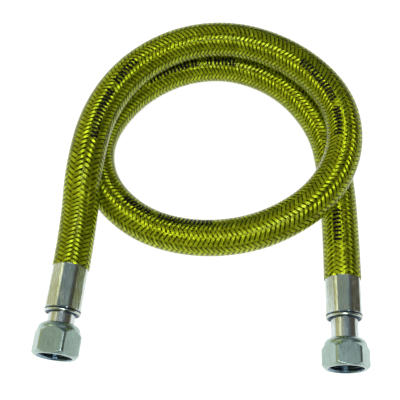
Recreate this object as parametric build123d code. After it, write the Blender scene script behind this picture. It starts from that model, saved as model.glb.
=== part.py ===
"""Gas hose assembly: a braided hose in a coloured jacket, coiled once, with a swivel nut on each end.

Millimetres, +Z up.  The hose lies on the plane z = 0.  The origin is on that plane, under the
middle of the two end fittings.  The fittings lie side by side and point to -Y, and the coil lies
behind them, at +Y.  Each end is a crimped ferrule, a hose tail with a neck and a collar, a slip
ring, a swivel nut that slides and spins on the neck, and a flat gasket.
"""
from build123d import *
import os
from math import cos, pi, radians, tan

# Hose: three layers, one inside the other
hose_od = 21.5              # outside of the jacket
jacket_wall = 1.0
braid_wall = 1.0
liner_wall = 2.4
layer_gap = 0.05            # radial, between one layer and the next

# End fittings, lengths along the fitting's own axis
ferrule_lengths = {"a": 27.6, "b": 23.7}
neck_lengths = {"a": 6.1, "b": 11.8}        # neck in the open, between ferrule and nut
nut_lengths = {"a": 18.4, "b": 16.7}

# Ferrule
ferrule_inset = 0.3         # the ferrule's wall stands this much inside the jacket's surface
ferrule_end_wall = 3.0      # closed in round the neck
lip_length = 1.7            # rolled lip at the neck's end
lip_groove_depth = 0.45
lip_groove_width = 0.9

# Swivel nut's thread, G 1/2
thread_major_d = 20.955
thread_depth = 1.162        # radial
thread_minor_d = thread_major_d - 2 * thread_depth

# Hose tail: barbed inside the liner, with a flange, a neck and a collar
collar_clearance = 0.3155   # radial, between the collar and the thread's crests
collar_step = 1.3           # radial, of the collar over the neck
collar_od = thread_minor_d - 2 * collar_clearance
neck_od = collar_od - 2 * collar_step
collar_length = 2.6
flange_length = 1.5
tail_gap = 0.05             # radial, between a barb's edge and the liner
tail_wall = 1.35            # round the gas bore, under the barbs
barb_height = 0.35
barb_pitch = 4.0
tail_start = 2.0            # the tail's tip stands this far inside the ferrule

# Swivel nut
nut_wall = 1.5225           # from the thread's roots to a flat
across_flats = thread_major_d + 2 * nut_wall
corner_rounding = 2.2       # of the six long edges
nut_turns = {"a": 5.0, "b": 0.0}            # degrees that each nut is turned from a flat on top
nut_shoulder = 3.2          # wall that bears on the slip ring
running_gap = 0.08          # radial, between the nut's shoulder and the neck
end_play = 0.1              # axial, at each face that slides or turns
mouth_chamfer = 0.8
chamber_clearance = 0.3     # room round the collar, past the thread's major diameter
dome_height = 3.9           # rounded shoulder behind the hexagon
dome_seat = 0.6             # flat ring between the neck's hole and the dome
dome_rim_d = across_flats   # dome's diameter where the corners start
corner_slope = 33.0         # degrees from the axis, of the corners' rear chamfer
mouth_inset = 0.3           # radial, of the mouth's face inside the flats
mouth_face_d = across_flats - 2 * mouth_inset
mouth_slope = 45.0          # degrees, of the corners' front chamfer

# Slip ring and gasket
slip_ring_length = 0.8
slip_ring_gap = 0.2         # radial, round the neck
gasket_length = 2.0
gasket_wall = 3.9           # radial width
gasket_inset = 0.1          # radial, inside the collar's edge

# The hose's route, from the end of fitting a to the end of fitting b.  Above 30 it lies on the
# lower turn: two points stand at the top on each side of both crossings.
route = [
    (-75.3, 27.4, 17.0),
    (-72.3, 54.2, 17.8),
    (-69.2, 83.0, 36.0),
    (-63.0, 122.0, 33.6),
    (-43.5, 154.0, 33.0),
    (-11.5, 174.5, 32.8),
    (25.0, 177.0, 32.8),
    (60.0, 161.0, 32.8),
    (84.5, 132.0, 32.8),
    (87.0, 97.0, 33.0),
    (69.5, 64.5, 33.0),
    (36.0, 46.5, 25.5),
    (-1.5, 44.5, 17.5),
    (-37.0, 56.0, 12.0),
    (-62.5, 82.0, 10.75),
    (-67.0, 115.0, 10.75),
    (-47.5, 148.0, 10.75),
    (-16.5, 169.0, 10.75),
    (19.5, 173.5, 10.75),
    (55.0, 157.5, 10.75),
    (78.0, 125.5, 10.75),
    (83.0, 91.0, 10.75),
    (83.4, 56.5, 12.0),
    (82.4, 22.7, 12.0),
]
arc_share = 0.45            # of the shorter run at a corner, taken by the arc

jacket_r = hose_od / 2
braid_r = jacket_r - jacket_wall - layer_gap
liner_r = braid_r - braid_wall - layer_gap
liner_bore_r = liner_r - liner_wall
bore_r = liner_bore_r - tail_gap - barb_height - tail_wall
neck_r = neck_od / 2
collar_r = collar_od / 2
ferrule_r = jacket_r - ferrule_inset
ferrule_bore_r = braid_r + layer_gap
corner_r = across_flats / 2 / cos(pi / 6) - corner_rounding * (1 / cos(pi / 6) - 1)
thread_r = thread_minor_d / 2
chamber_r = thread_major_d / 2 + chamber_clearance


def layout(end):
    """Places along one fitting's axis, measured from the jacket's end towards the nut's mouth."""
    ferrule = ferrule_lengths[end]
    flange = ferrule - ferrule_end_wall - flange_length
    nut = ferrule + neck_lengths[end]
    slip = nut + nut_shoulder + end_play
    collar = slip + slip_ring_length + end_play
    gasket = collar + collar_length
    chamber_end = gasket + gasket_length + end_play
    return dict(flange=flange, ferrule=ferrule, nut=nut, slip=slip, collar=collar, gasket=gasket,
                chamber_end=chamber_end, mouth=nut + nut_lengths[end])


def turned(points):
    """Solid of revolution about Z from an outline of (radius, height) points."""
    outline = Polyline(*[(r, 0, z) for r, z in points], close=True)
    return revolve(make_face(outline), Axis.Z)


def ferrule(end):
    """Crimped sleeve: a bore over the braid, an end wall round the neck and a rolled lip."""
    length = ferrule_lengths[end]
    groove_end = length - lip_length
    return turned([
        (ferrule_bore_r, 0),
        (ferrule_r, 0),
        (ferrule_r, groove_end - lip_groove_width),
        (ferrule_r - lip_groove_depth, groove_end - lip_groove_width / 2),
        (ferrule_r - lip_groove_depth, groove_end),
        (ferrule_r, groove_end + lip_length * 0.35),
        (ferrule_r, groove_end + lip_length * 0.65),
        (ferrule_r - lip_groove_depth, length),
        (neck_r, length),
        (neck_r, length - ferrule_end_wall),
        (ferrule_bore_r, length - ferrule_end_wall),
    ])


def hose_tail(end):
    """Barbed tail in the liner, flange inside the ferrule, neck, collar, and the gas bore."""
    at = layout(end)
    tail_r = liner_bore_r - tail_gap - barb_height
    barb_r = liner_bore_r - tail_gap
    outline = [(bore_r, tail_start), (tail_r, tail_start)]
    barb_count = int((at["flange"] - tail_start) / barb_pitch)
    for k in range(barb_count):
        start = tail_start + k * barb_pitch
        outline += [(tail_r, start + 0.25 * barb_pitch), (barb_r, start + 0.75 * barb_pitch),
                    (tail_r, start + 0.8 * barb_pitch)]
    outline += [
        (tail_r, at["flange"]),
        (ferrule_bore_r, at["flange"]),
        (ferrule_bore_r, at["flange"] + flange_length),
        (neck_r, at["flange"] + flange_length),
        (neck_r, at["collar"]),
        (collar_r, at["collar"]),
        (collar_r, at["gasket"]),
        (bore_r, at["gasket"]),
    ]
    return turned(outline)


def slip_ring(end):
    """Thin washer between the nut's shoulder and the tail's collar."""
    at = layout(end)
    ring = Circle(collar_r) - Circle(neck_r + slip_ring_gap)
    return Pos(0, 0, at["slip"]) * extrude(ring, slip_ring_length)


def gasket(end):
    """Flat sealing washer on the collar's face."""
    at = layout(end)
    outer = collar_r - gasket_inset
    washer = Circle(outer) - Circle(outer - gasket_wall)
    return Pos(0, 0, at["gasket"]) * extrude(washer, gasket_length)


def swivel_nut(end):
    """Round-edged hexagon with a domed rear shoulder, chamfered corners and a stepped bore."""
    at = layout(end)
    rear, mouth = at["nut"], at["mouth"]
    hole_r = neck_r + running_gap
    dome_foot = hole_r + dome_seat
    dome_rim = dome_rim_d / 2
    dome_top = rear + dome_height
    corner_end = dome_top + (corner_r - dome_rim) / tan(radians(corner_slope))
    front_start = mouth - (corner_r - mouth_face_d / 2) / tan(radians(mouth_slope))
    dome = EllipticalCenterArc((dome_foot, dome_top), dome_rim - dome_foot, dome_height, 270, arc_size=90)
    sides = Polyline((dome_rim, dome_top), (corner_r, corner_end), (corner_r, front_start),
                     (mouth_face_d / 2, mouth), (0, mouth), (0, rear), (dome_foot, rear))
    envelope = revolve(Plane.XZ * make_face(dome + sides), Axis.Z)
    hexagon = RegularPolygon(across_flats / 2, 6, major_radius=False, rotation=nut_turns[end])
    body = Pos(0, 0, rear) * extrude(fillet(hexagon.vertices(), corner_rounding), mouth - rear)
    stepped_bore = turned([
        (0, rear - 1),
        (hole_r, rear - 1),
        (hole_r, rear + nut_shoulder),
        (chamber_r, rear + nut_shoulder),
        (chamber_r, at["chamber_end"]),
        (thread_r, at["chamber_end"]),
        (thread_r, mouth - mouth_chamfer),
        (thread_r + mouth_chamfer, mouth),
        (thread_r + mouth_chamfer, mouth + 1),
        (0, mouth + 1),
    ])
    return (body & envelope) - stepped_bore


def fitting_plane(end_point, next_point):
    """Plane at the jacket's end, facing out along the fitting, with its X direction level."""
    out = Vector(*end_point) - Vector(*next_point)
    level = Vector(0, 0, 1).cross(out)
    return Plane(origin=end_point, x_dir=level, z_dir=out)


def corner_radii(points):
    """Arc radius at each inner point of the route, and the angle that the route turns there."""
    radii, turns = [], []
    for before, corner, after in zip(points, points[1:], points[2:]):
        arriving = Vector(*corner) - Vector(*before)
        leaving = Vector(*after) - Vector(*corner)
        turn = arriving.get_angle(leaving)
        shorter = min(arriving.length, leaving.length)
        radii.append(arc_share * shorter / tan(radians(turn / 2)))
        turns.append(turn)
    return radii, turns


def hose_path(reach_a, reach_b):
    """Centreline of a layer that runs on past the jacket's ends, straight into the fittings."""
    radii, _ = corner_radii(route)
    first = planes["a"].origin + planes["a"].z_dir * reach_a
    last = planes["b"].origin + planes["b"].z_dir * reach_b
    return FilletPolyline(first, *route[1:-1], last, radius=radii)


def layer(outer_r, inner_r, reach_a=0.0, reach_b=0.0):
    """One layer of the hose, swept along its path."""
    path = hose_path(reach_a, reach_b)
    ring = Circle(outer_r) - Circle(inner_r)
    solid = sweep(Plane(path ^ 0) * ring, path=path)
    return solid, path


planes = {
    "a": fitting_plane(route[0], route[1]),
    "b": fitting_plane(route[-1], route[-2]),
}
radii, turns = corner_radii(route)
for number, (radius, turn) in enumerate(zip(radii, turns), start=1):
    print(f"corner {number:2d}: turn {turn:5.1f} degrees, radius {radius:6.1f}")

nodes = {}
reach = {end: layout(end)["flange"] for end in planes}
layers = {
    "hose_jacket": (jacket_r, jacket_r - jacket_wall, 0.0, 0.0),
    "hose_braid": (braid_r, braid_r - braid_wall, reach["a"], reach["b"]),
    "hose_liner": (liner_r, liner_bore_r, reach["a"], reach["b"]),
}
for name, (outer_r, inner_r, reach_a, reach_b) in layers.items():
    nodes[name], path = layer(outer_r, inner_r, reach_a, reach_b)
    expected = pi * (outer_r ** 2 - inner_r ** 2) * path.length
    print(f"{name}: length {path.length:.1f}, volume {nodes[name].volume:.0f}, expected {expected:.0f}")

makers = {"ferrule": ferrule, "hose_tail": hose_tail, "slip_ring": slip_ring, "swivel_nut": swivel_nut,
          "gasket": gasket}
for end, plane in planes.items():
    for name, make in makers.items():
        nodes[f"{name}_{end}"] = plane * make(end)
    print(f"fitting {end}: origin {plane.origin}, out {plane.z_dir}, places {layout(end)}")

os.makedirs("parts", exist_ok=True)
for name, solid in nodes.items():
    export_step(solid, f"parts/{name}.step")
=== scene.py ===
import bpy
import numpy as np
from mathutils import Matrix, Vector


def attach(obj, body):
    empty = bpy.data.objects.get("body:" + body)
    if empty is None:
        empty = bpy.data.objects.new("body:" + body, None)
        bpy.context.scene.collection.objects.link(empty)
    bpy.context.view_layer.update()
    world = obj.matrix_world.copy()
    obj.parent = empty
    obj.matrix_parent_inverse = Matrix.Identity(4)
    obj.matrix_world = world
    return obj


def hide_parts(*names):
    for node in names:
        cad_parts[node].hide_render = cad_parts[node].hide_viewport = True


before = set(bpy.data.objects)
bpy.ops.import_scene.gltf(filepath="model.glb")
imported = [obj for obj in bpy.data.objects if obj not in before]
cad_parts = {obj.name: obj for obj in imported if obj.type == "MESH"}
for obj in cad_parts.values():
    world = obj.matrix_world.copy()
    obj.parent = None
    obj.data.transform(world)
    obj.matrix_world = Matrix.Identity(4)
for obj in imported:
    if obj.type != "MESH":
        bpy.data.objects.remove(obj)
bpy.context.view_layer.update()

# ---------------------------------------------------------------------------------------------
# Camera.  It stands in front of the two fittings and looks down on the coil.
# ---------------------------------------------------------------------------------------------
camera_place = Vector((-0.0008, -0.1256, 0.4515))
camera_elevation = 65.67                    # degrees above the horizon
camera_roll = 0.28                          # degrees
camera_lens = 71.4                          # millimetres, on a 36 mm wide sensor
camera_data = bpy.data.cameras.new("camera")
camera_data.sensor_width = 36.0
camera_data.lens = camera_lens
camera = bpy.data.objects.new("camera", camera_data)
look_down = Matrix.Rotation(np.radians(90.0 - camera_elevation), 4, "X")
roll = Matrix.Rotation(np.radians(camera_roll), 4, "Z")
camera.matrix_world = Matrix.Translation(camera_place) @ look_down @ roll
bpy.context.scene.collection.objects.link(camera)
bpy.context.scene.camera = camera

# ---------------------------------------------------------------------------------------------
# The hose's line.  The hose leaves the left fitting, goes once round clockwise, passes over its
# own lower turn on both sides and ends in the right fitting.
# ---------------------------------------------------------------------------------------------
hose_diameter = 0.0215
route = [
    (-0.0753, 0.0274, 0.0170),
    (-0.0723, 0.0542, 0.0178),
    (-0.0692, 0.0830, 0.0360),
    (-0.0630, 0.1220, 0.0336),
    (-0.0435, 0.1540, 0.0330),
    (-0.0115, 0.1745, 0.0328),
    (0.0250, 0.1770, 0.0328),
    (0.0600, 0.1610, 0.0328),
    (0.0845, 0.1320, 0.0328),
    (0.0870, 0.0970, 0.0330),
    (0.0695, 0.0645, 0.0330),
    (0.0360, 0.0465, 0.0255),
    (-0.0015, 0.0445, 0.0175),
    (-0.0370, 0.0560, 0.0120),
    (-0.0625, 0.0820, 0.01075),
    (-0.0670, 0.1150, 0.01075),
    (-0.0475, 0.1480, 0.01075),
    (-0.0165, 0.1690, 0.01075),
    (0.0195, 0.1735, 0.01075),
    (0.0550, 0.1575, 0.01075),
    (0.0780, 0.1255, 0.01075),
    (0.0830, 0.0910, 0.01075),
    (0.0834, 0.0565, 0.0120),
    (0.0824, 0.0227, 0.0120),
]
line_curve = bpy.data.curves.new("hose_line", "CURVE")
line_curve.dimensions = "3D"
line_curve.resolution_u = 24
line_spline = line_curve.splines.new("NURBS")
line_spline.points.add(len(route) - 1)
line_spline.points.foreach_set("co", np.array([(*place, 1.0) for place in route]).reshape(-1))
line_spline.order_u = 3
line_spline.use_endpoint_u = True
line_object = bpy.data.objects.new("hose_line", line_curve)
line_mesh = bpy.data.meshes.new_from_object(line_object)
line_points = np.empty(len(line_mesh.vertices) * 3)
line_mesh.vertices.foreach_get("co", line_points)
line_points = line_points.reshape(-1, 3)
bpy.data.objects.remove(line_object)
bpy.data.meshes.remove(line_mesh)


def unit(vectors):
    """Each row divided by its own length."""
    return vectors / np.linalg.norm(vectors, axis=-1, keepdims=True)


line_at = np.concatenate([[0.0], np.cumsum(np.linalg.norm(np.diff(line_points, axis=0), axis=1))])
line_heading = unit(np.gradient(line_points, line_at, axis=0))
hose_length = float(line_at[-1])


def on_hose(along, angle, radius):
    """Points of the hose from the distance along its line, the angle round it and the radius.

    The place is C(s) + r (cos(a) side(s) + sin(a) up(s)).  Side is level and square to the
    heading, and up is square to both, so that a quarter turn is on top.  Before the line's start
    and past its end the hose goes on straight.
    """
    inside = np.clip(along, 0.0, hose_length)
    centre = np.stack([np.interp(inside, line_at, line_points[:, k]) for k in range(3)], axis=-1)
    heading = unit(np.stack([np.interp(inside, line_at, line_heading[:, k]) for k in range(3)], axis=-1))
    centre = centre + heading * (along - inside)[..., None]
    side = unit(np.cross(heading, (0.0, 0.0, 1.0)))
    up = np.cross(side, heading)
    return centre + radius[..., None] * (np.cos(angle)[..., None] * side + np.sin(angle)[..., None] * up)


# ---------------------------------------------------------------------------------------------
# Braid.  Flat ribbons of drawn steel wire, wound both ways round the liner and plaited two over
# and two under.  Their ends are caught in the ferrules.
# ---------------------------------------------------------------------------------------------
ribbons_each_way = 12
braid_pitch = 0.0335                        # along the hose for one turn of a ribbon
braid_radius = 0.00920                      # middle of the plait
ribbon_rise = 0.00030                       # of a ribbon over and under that middle
ribbon_crown = 0.00016                      # middle wires over the outer ones
wires_in_ribbon = 4
wire_radius = 0.00020
points_per_wire = 4
wave_flatness = 2.0
dullest_stretch = 0.55                      # of the brightest one
stretches_drawn = 2000                      # lucks drawn for each ribbon
# Painted light on the ribbons: bright where a stretch lies on top, painted shade where it dives under
# the other way.
painted_light_at_crossing = 0.45
painted_light_by_height = 0.75
# Painted shade in the parting between a ribbon's two pairs of wires.
parting_shade = 0.7
parting_width = 0.24                        # of half a ribbon
ribbon_step = 0.00068                       # along the hose, between rings of points
braid_reach = 0.006                         # into each ferrule
ribbons_in_piece = 4


def ribbon_points(number, way):
    """One ribbon: rows along it, columns round its section.

    Its middle is the helix a = 2 pi (k / n + way s / pitch).  Its height is a wave that has one
    period in four crossings, flattened with tanh, and is opposite for the two ways.  Its section
    is a row of round wires on top of a low arch, and flat below.  The second result is painted
    light and shade for the colour: 1 where a stretch is on top, painted shade down to 0 at the
    ribbon's edges and where it dives, and less in the parting between its two pairs of wires.
    Each stretch has its own luck, a random tone.
    """
    along = np.arange(-braid_reach, hose_length + braid_reach, ribbon_step)
    turns = along / braid_pitch
    angle = 2.0 * np.pi * (number / ribbons_each_way + way * turns)
    crossings = 2.0 * (number + way * ribbons_each_way * turns)
    wave = way * np.cos(0.5 * np.pi * (crossings - 0.5))
    height = braid_radius + ribbon_rise * np.tanh(wave_flatness * wave) / np.tanh(wave_flatness)
    lean = np.arctan(2.0 * np.pi * braid_radius / braid_pitch)
    share = np.linspace(-1.0, 1.0, points_per_wire * wires_in_ribbon + 1)
    half_width = wires_in_ribbon * wire_radius
    ridges = np.abs(np.sin(0.5 * np.pi * wires_in_ribbon * (share + 1.0)))
    top = ribbon_crown * (1.0 - share ** 2) + wire_radius * ridges
    across = np.concatenate([share * half_width, [half_width, -half_width]])
    proud = np.concatenate([top, [-wire_radius, -wire_radius]])
    s = along[:, None] - way * across[None] * np.sin(lean)
    a = angle[:, None] + across[None] * np.cos(lean) / braid_radius
    r = height[:, None] + proud[None]
    stretch = np.floor(0.25 * (crossings - 0.5) + 0.25).astype(int)
    drawn = np.random.default_rng(number + 100 * (way + 1))
    luck = drawn.uniform(dullest_stretch, 1.0, stretches_drawn)[stretch % stretches_drawn]
    on_top = (luck * np.clip(painted_light_at_crossing + painted_light_by_height * wave, 0.0, 1.0))[:, None]
    parting = 1.0 - parting_shade * np.exp(-(share / parting_width) ** 2)
    in_middle = np.concatenate([parting * (1.0 - share ** 4), [0.0, 0.0]])[None]
    return on_hose(s, a, r), on_top * in_middle


def shell_mesh(name, grids, close_rows=False):
    """Mesh of grids of points whose columns close round.  Rows close as well, or get end faces.

    Face (i, j) holds the points (i, j), (i+1, j), (i+1, j+1) and (i, j+1), so that a row's
    direction crossed with a column's direction points outwards.
    """
    rows, columns = grids[0].shape[:2]
    number = np.arange(rows * columns).reshape(rows, columns)
    ends = np.stack([number[0], number[-1, ::-1]])
    number = np.concatenate([number, number[:, :1]], axis=1)
    if close_rows:
        number = np.concatenate([number, number[:1]], axis=0)
        ends = ends[:0]
    quads = np.stack([number[:-1, :-1], number[1:, :-1], number[1:, 1:], number[:-1, 1:]], axis=-1)
    shift = rows * columns * np.arange(len(grids))
    quads = (quads.reshape(1, -1, 4) + shift[:, None, None]).reshape(-1, 4)
    ends = (ends[None] + shift[:, None, None]).reshape(-1, columns)
    loops = np.concatenate([quads.reshape(-1), ends.reshape(-1)])
    totals = np.concatenate([np.full(len(quads), 4), np.full(len(ends), columns)])
    starts = np.cumsum(totals) - totals
    mesh = bpy.data.meshes.new(name)
    mesh.vertices.add(rows * columns * len(grids))
    mesh.vertices.foreach_set("co", np.stack(grids).reshape(-1).astype(np.float32))
    mesh.loops.add(len(loops))
    mesh.loops.foreach_set("vertex_index", loops.astype(np.int32))
    mesh.polygons.add(len(totals))
    mesh.polygons.foreach_set("loop_start", starts.astype(np.int32))
    mesh.polygons.foreach_set("loop_total", totals.astype(np.int32))
    mesh.polygons.foreach_set("use_smooth", totals == 4)
    mesh.update(calc_edges=True)
    return mesh


def make_piece(mesh, material, body):
    """Object of a finished mesh, at the origin, that rides on a body."""
    piece = bpy.data.objects.new(mesh.name, mesh)
    mesh.materials.append(material)
    bpy.context.scene.collection.objects.link(piece)
    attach(piece, body)
    return piece


def new_material(name, **values):
    """Material with its node tree and its Principled shader, whose sockets take the values."""
    material = bpy.data.materials.new(name)
    material.use_nodes = True
    shader = material.node_tree.nodes["Principled BSDF"]
    for socket, value in values.items():
        shader.inputs[socket.replace("_", " ")].default_value = value
    return material, material.node_tree, shader


# The wire's colour is painted light and shade: dark brown A is painted shade where a ribbon dives, at
# its edges and in its parting, near-white B where it lies on top.
braid_wire, tree, shader = new_material("drawn_wire", Metallic=1.0, Roughness=0.29)
painted_light = tree.nodes.new("ShaderNodeAttribute")
painted_light.attribute_name = "painted_light"
wire_shade = tree.nodes.new("ShaderNodeMix")
wire_shade.data_type = "RGBA"
wire_shade.inputs["A"].default_value = (0.21, 0.165, 0.06, 1.0)
wire_shade.inputs["B"].default_value = (0.98, 0.98, 0.90, 1.0)
tree.links.new(painted_light.outputs["Fac"], wire_shade.inputs["Factor"])
tree.links.new(wire_shade.outputs["Result"], shader.inputs["Base Color"])
for way, word in ((1, "right"), (-1, "left")):
    for first in range(0, ribbons_each_way, ribbons_in_piece):
        ribbons = [ribbon_points(number, way) for number in range(first, first + ribbons_in_piece)]
        mesh = shell_mesh(f"braid_{word}_{first // ribbons_in_piece + 1}", [grid for grid, _ in ribbons])
        painted_light_values = np.stack([rub for _, rub in ribbons]).reshape(-1).astype(np.float32)
        mesh.attributes.new("painted_light", "FLOAT", "POINT").data.foreach_set("value", painted_light_values)
        make_piece(mesh, braid_wire, "hose")
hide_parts("hose_braid")

# ---------------------------------------------------------------------------------------------
# Liner.  A black rubber tube under the braid, seen as the dark of the gaps between ribbons.
# ---------------------------------------------------------------------------------------------
liner_rubber, _, _ = new_material("liner_rubber", Base_Color=(0.012, 0.012, 0.008, 1.0), Roughness=0.75)


def dress(node, material):
    """Gives a CAD piece its material."""
    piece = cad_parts[node]
    for slot in piece.material_slots:
        slot.material = material
    return piece


liner = dress("hose_liner", liner_rubber)

# ---------------------------------------------------------------------------------------------
# Jacket.  Clear yellow-green plastic run on over the braid, which it grips: its inside lies in
# the plait, and its outside is lightly marked by the ribbons.
# ---------------------------------------------------------------------------------------------
jacket_inner_radius = 0.00885
jacket_edge = 0.00025                       # rounding of the cut ends
jacket_step = 0.002
jacket_sides = 72
emboss_height = 0.00006
outer = hose_diameter / 2
run = np.linspace(jacket_edge, hose_length - jacket_edge, int(hose_length / jacket_step))
jacket_at = np.concatenate([[0.0], run, [hose_length], run[::-1]])
jacket_radius = np.concatenate([[outer - jacket_edge], np.full(len(run), outer), [outer - jacket_edge],
                                np.full(len(run), jacket_inner_radius)])
jacket_angle = np.linspace(0.0, 2.0 * np.pi, jacket_sides, endpoint=False)
jacket_grid = np.broadcast_arrays(jacket_at[:, None], jacket_angle[None], jacket_radius[:, None])
jacket_mesh = shell_mesh("jacket", [on_hose(*jacket_grid)], close_rows=True)


def map_grid(mesh, across, along):
    """UV map of a grid that closes both ways, from the values at its columns and rows.

    Both lists have one value more than the grid has columns or rows, for the face that closes it.
    """
    faces = np.broadcast_arrays(across[None, :-1], across[None, 1:], along[:-1, None], along[1:, None])
    left, right, near, far = faces
    corners = np.stack([np.stack([left, near], -1), np.stack([left, far], -1),
                        np.stack([right, far], -1), np.stack([right, near], -1)], axis=2)
    layer = mesh.uv_layers.new(name="along_hose")
    layer.data.foreach_set("uv", corners.reshape(-1).astype(np.float32))


map_grid(jacket_mesh, np.linspace(0.0, 1.0, jacket_sides + 1),
         np.append(jacket_at, jacket_at[0]) / braid_pitch)
jacket_plastic, tree, shader = new_material(
    "tinted_jacket", Base_Color=(0.76, 0.97, 0.025, 1.0), Roughness=0.05, IOR=1.22,
    Specular_Tint=(0.75, 0.95, 0.35, 1.0), Transmission_Weight=1.0)


def math_node(tree, operation, first, second=0.0, third=0.0):
    """Math node on sockets or numbers, and its output."""
    node = tree.nodes.new("ShaderNodeMath")
    node.operation = operation
    for socket, value in zip(node.inputs, (first, second, third)):
        if isinstance(value, bpy.types.NodeSocket):
            tree.links.new(value, socket)
        else:
            socket.default_value = value
    return node.outputs[0]


# The mark of the ribbons: ridges square to each way's ribbons, where that way lies on top.
marks = tree.nodes.new("ShaderNodeUVMap")
marks.uv_map = "along_hose"
parted = tree.nodes.new("ShaderNodeSeparateXYZ")
tree.links.new(marks.outputs[0], parted.inputs[0])
round_hose, turn = parted.outputs[0], parted.outputs[1]
per_turn = 2.0 * np.pi * ribbons_each_way
right_ridge = math_node(tree, "COSINE", math_node(
    tree, "MULTIPLY", math_node(tree, "SUBTRACT", round_hose, turn), per_turn))
left_ridge = math_node(tree, "COSINE", math_node(
    tree, "MULTIPLY", math_node(tree, "ADD", round_hose, turn), per_turn))
right_on_top = math_node(tree, "COSINE", math_node(
    tree, "MULTIPLY_ADD", round_hose, 0.5 * per_turn, -0.25 * np.pi))
pick = tree.nodes.new("ShaderNodeMapRange")
pick.interpolation_type = "SMOOTHSTEP"
pick.inputs["From Min"].default_value = -0.5
pick.inputs["From Max"].default_value = 0.5
tree.links.new(right_on_top, pick.inputs["Value"])
ridge = tree.nodes.new("ShaderNodeMix")
tree.links.new(pick.outputs[0], ridge.inputs["Factor"])
tree.links.new(left_ridge, ridge.inputs["A"])
tree.links.new(right_ridge, ridge.inputs["B"])
emboss = tree.nodes.new("ShaderNodeBump")
emboss.inputs["Strength"].default_value = 1.0
emboss.inputs["Distance"].default_value = emboss_height
tree.links.new(ridge.outputs[0], emboss.inputs["Height"])
tree.links.new(emboss.outputs[0], shader.inputs["Normal"])
jacket = make_piece(jacket_mesh, jacket_plastic, "hose")
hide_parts("hose_jacket")

# ---------------------------------------------------------------------------------------------
# Print.  Rows of plain black bars inked on the jacket, every so far along the hose.
# ---------------------------------------------------------------------------------------------
print_starts = (0.075, 0.252, 0.420, 0.585, 0.741)
print_wander = ((0.075, 69.0), (0.137, 86.0), (0.253, 71.0), (0.312, 60.0), (0.420, 50.0),
                (0.492, 69.0), (0.803, 71.0))   # place, and degrees round the hose, 90 on top
marks_in_print = (0, 1, 2, 3, 4, 5, 6, 8, 9, 10, 11)
mark_every = 0.0052
bars_in_mark = (0.0, 0.0024)
bar_width = 0.0013                          # along the hose
bar_length = 0.0048                         # round the hose
ink_proud = 0.00004
bar_rows = 3
bar_columns = 7                             # on the bar's upper side, and as many below


def bar_points(start, angle):
    """One bar: a thin slab that lies on the jacket.  Rows run along the hose, columns round it."""
    along = np.linspace(start, start + bar_width, bar_rows)
    half = 0.5 * bar_length / outer
    side = angle + np.linspace(-half, half, bar_columns)
    there_and_back = np.concatenate([side, side[::-1]])
    radius = outer + ink_proud * np.repeat([1.0, -1.0], bar_columns)
    return on_hose(*np.broadcast_arrays(along[:, None], there_and_back[None], radius[None]))


bars = []
for print_start in print_starts:
    for mark in marks_in_print:
        start = print_start + mark_every * mark
        middle = np.radians(np.interp(start, *zip(*print_wander)))
        bars.extend(bar_points(start + shift, middle) for shift in bars_in_mark)
ink, _, _ = new_material("black_ink", Base_Color=(0.006, 0.006, 0.003, 1.0), Roughness=0.5,
                         Specular_IOR_Level=0.15)
printing = make_piece(shell_mesh("printed_bars", bars), ink, "hose")

# ---------------------------------------------------------------------------------------------
# Ferrules.  Bright steel sleeves crimped over the hose's ends in eight flats, with the neck's
# end rolled in to a bead.  The groove and the bead's underside are painted darker, as painted shade.
# Dirt has darkened the groove and the bead's underside.
# ---------------------------------------------------------------------------------------------


class Fitting:
    """Places along one fitting's own axis, out from the jacket's end."""

    def __init__(self, end, bodies, origin, towards, ferrule, nut_start, nut_length):
        self.end = end
        self.bodies = bodies
        self.origin = np.array(origin)
        self.out = unit(self.origin - np.array(towards))
        self.level = unit(np.cross((0.0, 0.0, 1.0), self.out))
        self.up = np.cross(self.out, self.level)
        self.ferrule = ferrule
        self.nut_start = nut_start
        self.mouth = nut_start + nut_length

    def turned(self, places, radii, columns):
        """Grid round the axis from places and radii, each one value or one row for each column."""
        angle = np.linspace(2.0 * np.pi, 0.0, columns, endpoint=False)
        spot = (self.origin + places[..., None] * self.out
                + radii[..., None] * (np.cos(angle)[None, :, None] * self.level
                                      + np.sin(angle)[None, :, None] * self.up))
        return spot


fittings = [
    Fitting("a", ("hose", "slip_a", "nut_a"), route[0], route[1],
            ferrule=0.0276, nut_start=0.0337, nut_length=0.0184),
    Fitting("b", ("hose", "slip_b", "nut_b"), route[-1], route[-2],
            ferrule=0.0237, nut_start=0.0355, nut_length=0.0167),
]
ferrule_radius = 0.01045
ferrule_bore = 0.00975
neck_radius = 0.0077
ferrule_end_wall = 0.003
ferrule_edge = 0.0004                       # rounding at the hose's end
bead_radius = 0.00075
groove_depth = 0.0006
groove_flank = 0.0006                       # from the flats' end to the groove's bottom
end_recess = 0.0008                         # of the end face behind the bead's front
end_ledge = 0.0012                          # width of that face, round the neck
crimp_apothem = 0.01000
crimp_flats = 8
crimp_turns = {"a": -7.0, "b": 10.5}        # degrees from a flat on top
crimp_ease = 0.0003                         # length over which a flat fades out
edge_rows = 6
sleeve_rows = 60
bead_rows = 16
# Rows past these on the bead are its underside, which gets painted shade.
bead_rows_unshaded = 11                        # the rest are its underside


def arc_points(centre, radius, start, stop, count):
    """Points (place, radius) on a round, between two angles in degrees from the axis's direction."""
    angle = np.radians(np.linspace(start, stop, count))
    return np.stack([centre[0] + radius * np.cos(angle), centre[1] + radius * np.sin(angle)], axis=-1)


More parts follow.
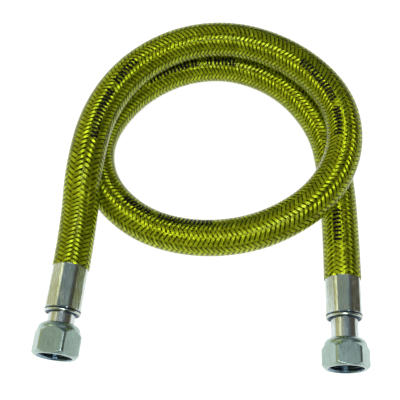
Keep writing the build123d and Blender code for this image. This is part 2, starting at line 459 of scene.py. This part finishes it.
def ferrule_grid(fitting, columns=256):
    """Sleeve: out along its outside, round the bead, in along the neck and back along its bore.

    On the outside, the radius is the least of the turned outline and the flats, which are
    apothem / cos(angle from the flat's middle).  They run out at the hose's end and fade before
    the bead.  The second result is true for the rows of the groove and of the bead's underside,
    which get painted shade.
    """
    length = fitting.ferrule
    groove = length - 2.0 * bead_radius
    flats_end = groove - groove_flank
    bead_centre = (length - bead_radius, ferrule_radius - bead_radius)
    sleeve = np.linspace(ferrule_edge, flats_end, sleeve_rows)
    outline = np.concatenate([
        [(0.0, ferrule_bore)],
        arc_points((ferrule_edge, ferrule_radius - ferrule_edge), ferrule_edge, 180, 90, edge_rows),
        np.stack([sleeve, np.full(sleeve_rows, ferrule_radius)], axis=-1),
        [(groove, ferrule_radius - groove_depth)],
        arc_points(bead_centre, bead_radius, 150, -60, bead_rows),
        [(length - end_recess, neck_radius + end_ledge), (length - end_recess, neck_radius)],
        [(length - ferrule_end_wall, neck_radius), (length - ferrule_end_wall, ferrule_bore)],
    ])
    angle = np.linspace(2.0 * np.pi, 0.0, columns, endpoint=False)
    flat = 2.0 * np.pi / crimp_flats
    from_middle = (angle - np.radians(crimp_turns[fitting.end]) + 0.5 * flat) % flat - 0.5 * flat
    cut = np.minimum(ferrule_radius, crimp_apothem / np.cos(from_middle)) - ferrule_radius
    place, radius = outline[:, :1], outline[:, 1:]
    fade = np.clip((flats_end - place) / crimp_ease, 0.0, 1.0)
    radii = np.where(place < groove, np.minimum(radius, ferrule_radius + fade * cut[None]), radius)
    row = np.arange(len(outline))
    groove_row = 1 + edge_rows + sleeve_rows
    underside_row = groove_row + 1 + bead_rows_unshaded
    # Rows of the groove and of the bead's underside, which get painted shade.
    shaded = ((row >= groove_row - 1) & (row <= groove_row)) | (row >= underside_row)
    return fitting.turned(np.broadcast_to(place, radii.shape), radii, columns), shaded


wear = bpy.data.node_groups.new("worn_metal", "ShaderNodeTree")
for name, kind, value in (("Scale", "NodeSocketFloat", 400.0), ("Low", "NodeSocketFloat", 0.2),
                          ("High", "NodeSocketFloat", 0.3), ("Depth", "NodeSocketFloat", 0.00001)):
    wear.interface.new_socket(name, in_out="INPUT", socket_type=kind).default_value = value
wear.interface.new_socket("Roughness", in_out="OUTPUT", socket_type="NodeSocketFloat")
wear.interface.new_socket("Stain", in_out="OUTPUT", socket_type="NodeSocketFloat")
wear.interface.new_socket("Normal", in_out="OUTPUT", socket_type="NodeSocketVector")
given = wear.nodes.new("NodeGroupInput")
given_out = wear.nodes.new("NodeGroupOutput")
spot = wear.nodes.new("ShaderNodeTexCoord")
stretch = wear.nodes.new("ShaderNodeMapping")
stretch.inputs["Scale"].default_value = (1.0, 0.12, 1.0)
grain = wear.nodes.new("ShaderNodeTexNoise")
grain.inputs["Detail"].default_value = 4.0
blotch = wear.nodes.new("ShaderNodeTexNoise")
blotch.inputs["Scale"].default_value = 90.0
blotch.inputs["Detail"].default_value = 3.0
shine = wear.nodes.new("ShaderNodeMapRange")
shine.inputs["From Min"].default_value = 0.3
shine.inputs["From Max"].default_value = 0.7
scratch = wear.nodes.new("ShaderNodeBump")
wear.links.new(spot.outputs["Object"], stretch.inputs["Vector"])
wear.links.new(stretch.outputs[0], grain.inputs["Vector"])
wear.links.new(spot.outputs["Object"], blotch.inputs["Vector"])
wear.links.new(given.outputs["Scale"], grain.inputs["Scale"])
wear.links.new(grain.outputs[0], shine.inputs["Value"])
wear.links.new(given.outputs["Low"], shine.inputs["To Min"])
wear.links.new(given.outputs["High"], shine.inputs["To Max"])
wear.links.new(grain.outputs[0], scratch.inputs["Height"])
wear.links.new(given.outputs["Depth"], scratch.inputs["Distance"])
wear.links.new(shine.outputs[0], given_out.inputs["Roughness"])
streak = wear.nodes.new("ShaderNodeMapRange")
streak.inputs["From Min"].default_value = 0.7
streak.inputs["From Max"].default_value = 1.3
both = wear.nodes.new("ShaderNodeMath")
wear.links.new(grain.outputs[0], both.inputs[0])
wear.links.new(blotch.outputs[0], both.inputs[1])
wear.links.new(both.outputs[0], streak.inputs["Value"])
wear.links.new(streak.outputs[0], given_out.inputs["Stain"])
wear.links.new(scratch.outputs[0], given_out.inputs["Normal"])


def metal(name, clean, stained, scale, low, high, depth):
    """Metal with two tones in soft blotches, fine scratches along the fitting, and uneven shine."""
    material, tree, shader = new_material(name, Metallic=1.0)
    worn = tree.nodes.new("ShaderNodeGroup")
    worn.node_tree = wear
    for socket, value in (("Scale", scale), ("Low", low), ("High", high), ("Depth", depth)):
        worn.inputs[socket].default_value = value
    tone = tree.nodes.new("ShaderNodeMix")
    tone.data_type = "RGBA"
    tone.inputs["A"].default_value = clean
    tone.inputs["B"].default_value = stained
    tree.links.new(worn.outputs["Stain"], tone.inputs["Factor"])
    tree.links.new(tone.outputs["Result"], shader.inputs["Base Color"])
    tree.links.new(worn.outputs["Roughness"], shader.inputs["Roughness"])
    tree.links.new(worn.outputs["Normal"], shader.inputs["Normal"])
    return material


bright_steel = metal("bright_steel", (0.60, 0.68, 0.72, 1.0), (0.42, 0.46, 0.34, 1.0),
                     1600.0, 0.12, 0.28, 0.00006)
# Painted shade: dark steel for the ferrules' groove and the bead's underside.
painted_shade_steel = metal("painted_shade_steel", (0.10, 0.16, 0.22, 1.0), (0.03, 0.05, 0.08, 1.0),
                     1600.0, 0.2, 0.35, 0.00006)
for fitting in fittings:
    grid, shaded_rows = ferrule_grid(fitting)
    mesh = shell_mesh(f"crimped_ferrule_{fitting.end}", [grid], close_rows=True)
    piece = make_piece(mesh, bright_steel, fitting.bodies[0])
    mesh.materials.append(painted_shade_steel)
    mesh.polygons.foreach_set("material_index", np.repeat(shaded_rows, grid.shape[1]).astype(np.int32))
    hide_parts(f"ferrule_{fitting.end}")

# ---------------------------------------------------------------------------------------------
# Hose tails.  Turned steel: a neck in the open and, in the nut, the collar that it pulls on.
# ---------------------------------------------------------------------------------------------
turned_steel = metal("turned_steel", (0.64, 0.70, 0.74, 1.0), (0.42, 0.47, 0.44, 1.0),
                     1600.0, 0.16, 0.28, 0.00004)
for fitting in fittings:
    dress(f"hose_tail_{fitting.end}", turned_steel)

# ---------------------------------------------------------------------------------------------
# Slip rings and gaskets.  A thin nylon ring behind the collar, and a flat black seal on it.
# ---------------------------------------------------------------------------------------------
slip_nylon, _, _ = new_material("slip_nylon", Base_Color=(0.62, 0.60, 0.52, 1.0), Roughness=0.4)
seal_rubber, _, _ = new_material("seal_rubber", Base_Color=(0.02, 0.025, 0.03, 1.0), Roughness=0.6)
for fitting in fittings:
    dress(f"slip_ring_{fitting.end}", slip_nylon)
    dress(f"gasket_{fitting.end}", seal_rubber)

# ---------------------------------------------------------------------------------------------
# Swivel nuts.  Zinc-plated hexagons with a domed shoulder, rounded long edges and a pipe thread
# cut in the mouth.
# ---------------------------------------------------------------------------------------------
nut_flat = 0.012                            # from the axis to a flat
nut_rounding = 0.0022
nut_hole = 0.00778
dome_foot = 0.00838
dome_rim = 0.012
dome_height = 0.0039
corner_slope = 33.0                         # degrees from the axis, behind
mouth_face = 0.0117
thread_minor = 0.0093155
thread_depth = 0.001162
thread_pitch = 0.001814
chamber_radius = 0.010778
chamber_from_rear = 0.0032
chamber_length = 0.0057
mouth_bevel = 0.0008
thread_flat = 0.1                           # of the depth, flat at crest and at root
thread_run_out = 0.0008
face_edge = 0.0001                          # small bevel round the end faces
edge_softness = 0.00012                     # where the turned outline meets the hexagon
past_corner = 0.001
dome_rows = 16
cone_rows = 24
flat_rows = 30
front_rows = 24
thread_rows = 90
nut_corner = nut_flat / np.cos(np.pi / 6) - nut_rounding * (1.0 / np.cos(np.pi / 6) - 1.0)
nut_turns = {"a": 5.0, "b": 0.0}            # degrees from a flat on top


def rounded_hexagon(angle):
    """Distance from the axis to a hexagon with round corners, in each direction.

    Between the flats' ends it is nut_flat / cos(a).  Past them it is the far side of the round
    whose centre stands on the corner's direction.
    """
    off = np.abs((angle + np.pi / 6) % (np.pi / 3) - np.pi / 6)
    centre = (nut_flat - nut_rounding) / np.cos(np.pi / 6)
    corner = np.pi / 6 - off
    across = centre * np.sin(corner)
    on_round = centre * np.cos(corner) + np.sqrt(np.maximum(nut_rounding ** 2 - across ** 2, 0.0))
    flat_end = np.arctan2(centre * np.sin(np.pi / 6), nut_flat)
    return np.where(off > flat_end, on_round, nut_flat / np.cos(off))


def least(first, second, softness):
    """Smaller of two values, blended over the softness where they are close."""
    gap = np.clip(0.5 + 0.5 * (second - first) / softness, 0.0, 1.0)
    return second + (first - second) * gap - softness * gap * (1.0 - gap)


def nut_grid(fitting, columns=300):
    """Nut: out over the dome and flats, in at the mouth, and back along thread, chamber and hole.

    Outside, the radius is the softened least of the turned outline and the rounded hexagon.
    Inside, it is the turned outline, and the thread adds a helical wave of one pitch a turn.
    """
    rear, mouth = fitting.nut_start, fitting.mouth
    dome_top = rear + dome_height
    corner_end = dome_top + (nut_corner - dome_rim) / np.tan(np.radians(corner_slope))
    front_start = mouth - (nut_corner - mouth_face)
    sweep = np.radians(np.linspace(-90.0, 0.0, dome_rows))
    dome = np.stack([dome_top + dome_height * np.sin(sweep),
                     dome_foot + (dome_rim - dome_foot) * np.cos(sweep)], axis=-1)
    bevel = np.linspace(dome_top, corner_end, cone_rows)[1:]
    cone = np.stack([bevel, dome_rim + (bevel - dome_top) * np.tan(np.radians(corner_slope))], axis=-1)
    sides = np.linspace(corner_end, front_start, flat_rows)[1:-1]
    flats = np.stack([sides, np.full(len(sides), nut_corner + past_corner)], axis=-1)
    chamfer = np.linspace(front_start, mouth - face_edge, front_rows)
    front = np.stack([chamfer, nut_corner - (chamfer - front_start)], axis=-1)
    outside = np.concatenate([[(rear, nut_hole + face_edge)], dome, cone, flats, front,
                              [(mouth, mouth_face - 2.0 * face_edge)]])
    bevel_end = mouth - mouth_bevel
    shoulder = rear + chamber_from_rear
    thread_start = shoulder + chamber_length
    thread_at = np.linspace(bevel_end, thread_start + 2.0 * face_edge, thread_rows)
    inside = np.concatenate([
        [(mouth, thread_minor + mouth_bevel + face_edge)],
        [(mouth - face_edge, thread_minor + mouth_bevel)],
        np.stack([thread_at, np.full(thread_rows, thread_minor)], axis=-1),
        [(thread_start, chamber_radius), (shoulder, chamber_radius)],
        [(shoulder, nut_hole), (rear + face_edge, nut_hole)],
    ])
    angle = np.linspace(2.0 * np.pi, 0.0, columns, endpoint=False)
    hexagon = rounded_hexagon(angle - np.pi / 2 - np.radians(nut_turns[fitting.end]))
    outer_radii = least(outside[:, 1:], hexagon[None], edge_softness)
    phase = inside[:, :1] / thread_pitch - angle[None] / (2.0 * np.pi)
    tooth = np.abs(phase % 1.0 - 0.5) * 2.0
    flank = np.clip((tooth - thread_flat) / (1.0 - 2.0 * thread_flat), 0.0, 1.0)
    fade = np.clip((inside[:, :1] - thread_start) / thread_run_out, 0.0, 1.0)
    is_thread = (inside[:, :1] > thread_start) & (inside[:, :1] < bevel_end + 0.5 * face_edge)
    inner_radii = inside[:, 1:] + np.where(is_thread, thread_depth * fade * flank, 0.0)
    radii = np.concatenate([outer_radii, inner_radii])
    places = np.broadcast_to(np.concatenate([outside, inside])[:, :1], radii.shape)
    return fitting.turned(places, radii, columns), len(inside)


plated = metal("plated_nut", (0.38, 0.51, 0.49, 1.0), (0.33, 0.42, 0.38, 1.0),
               1500.0, 0.24, 0.36, 0.00003)
# Painted shade: the nut's inside, thread, chamber and hole, is a darker steel than the plating, in
# random blotches.
shaded_bore = metal("shaded_bore", (0.30, 0.44, 0.52, 1.0), (0.05, 0.09, 0.14, 1.0),
                   1500.0, 0.16, 0.26, 0.00001)
for fitting in fittings:
    grid, inside_rows = nut_grid(fitting)
    mesh = shell_mesh(f"hex_nut_{fitting.end}", [grid], close_rows=True)
    piece = make_piece(mesh, plated, fitting.bodies[2])
    mesh.materials.append(shaded_bore)
    # The inside rows get the painted-shade steel.
    inside = np.repeat(np.arange(grid.shape[0]) >= grid.shape[0] - inside_rows, grid.shape[1])
    mesh.polygons.foreach_set("material_index", inside.astype(np.int32))
    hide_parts(f"swivel_nut_{fitting.end}")

# ---------------------------------------------------------------------------------------------
# Floor, lights and surroundings.  A pale studio: a white card underneath, three soft boxes
# overhead, and walls that are brighter on the left.
# ---------------------------------------------------------------------------------------------
floor_half = 1.5
floor_drop = 0.0002
floor_mesh = bpy.data.meshes.new("floor")
floor_corners = [(x * floor_half, y * floor_half, -floor_drop)
                 for x, y in ((-1, -1), (1, -1), (1, 1), (-1, 1))]
floor_mesh.from_pydata(floor_corners, [], [(0, 1, 2, 3)])
floor_card, _, _ = new_material("floor_card", Base_Color=(0.35, 0.35, 0.35, 1.0), Roughness=0.9,
                                Emission_Color=(1.0, 1.0, 1.0, 1.0), Emission_Strength=0.90)
floor_mesh.materials.append(floor_card)
floor = bpy.data.objects.new("floor", floor_mesh)
bpy.context.scene.collection.objects.link(floor)

world = bpy.data.worlds.new("studio")
world.use_nodes = True
room = world.node_tree
facing = room.nodes.new("ShaderNodeTexCoord")
sides = room.nodes.new("ShaderNodeSeparateXYZ")
walls = room.nodes.new("ShaderNodeValToRGB")
from_left = room.nodes.new("ShaderNodeMapRange")
from_left.inputs["From Min"].default_value = -1.0
room.links.new(facing.outputs["Generated"], sides.inputs[0])
room.links.new(sides.outputs[0], from_left.inputs["Value"])
room.links.new(from_left.outputs[0], walls.inputs[0])
room.links.new(walls.outputs[0], room.nodes["Background"].inputs["Color"])
room.nodes["Background"].inputs["Strength"].default_value = 1.0
wall_colours = ((0.0, (0.80, 0.72, 0.32)), (0.16, (0.50, 0.48, 0.26)), (0.34, (0.37, 0.39, 0.31)),
                (0.5, (0.17, 0.24, 0.26)), (0.72, (0.11, 0.13, 0.14)), (1.0, (0.10, 0.08, 0.04)))
for place, _ in wall_colours[1:-1]:
    walls.color_ramp.elements.new(place)
for stop, (_, colour) in zip(walls.color_ramp.elements, wall_colours):
    stop.color = (*colour, 1.0)
bpy.context.scene.world = world
bpy.context.scene.view_settings.view_transform = "Standard"


def soft_light(name, place, size, power, colour):
    """Square area light that faces the middle of the object."""
    data = bpy.data.lights.new(name, "AREA")
    data.size = size
    data.energy = power
    data.color = colour
    light = bpy.data.objects.new(name, data)
    light.location = place
    light.rotation_euler = (Vector((0.0, 0.05, 0.0)) - Vector(place)).to_track_quat("-Z", "Y").to_euler()
    bpy.context.scene.collection.objects.link(light)


soft_light("right_box", (0.34, 0.41, 0.75), 0.2, 0.14, (1.0, 1.0, 1.0))
soft_light("left_box", (-0.56, 0.39, 0.62), 0.3, 0.35, (1.0, 0.98, 0.75))
soft_light("front_box", (0.0, -0.19, 0.80), 0.36, 4.2, (1.0, 1.0, 1.0))
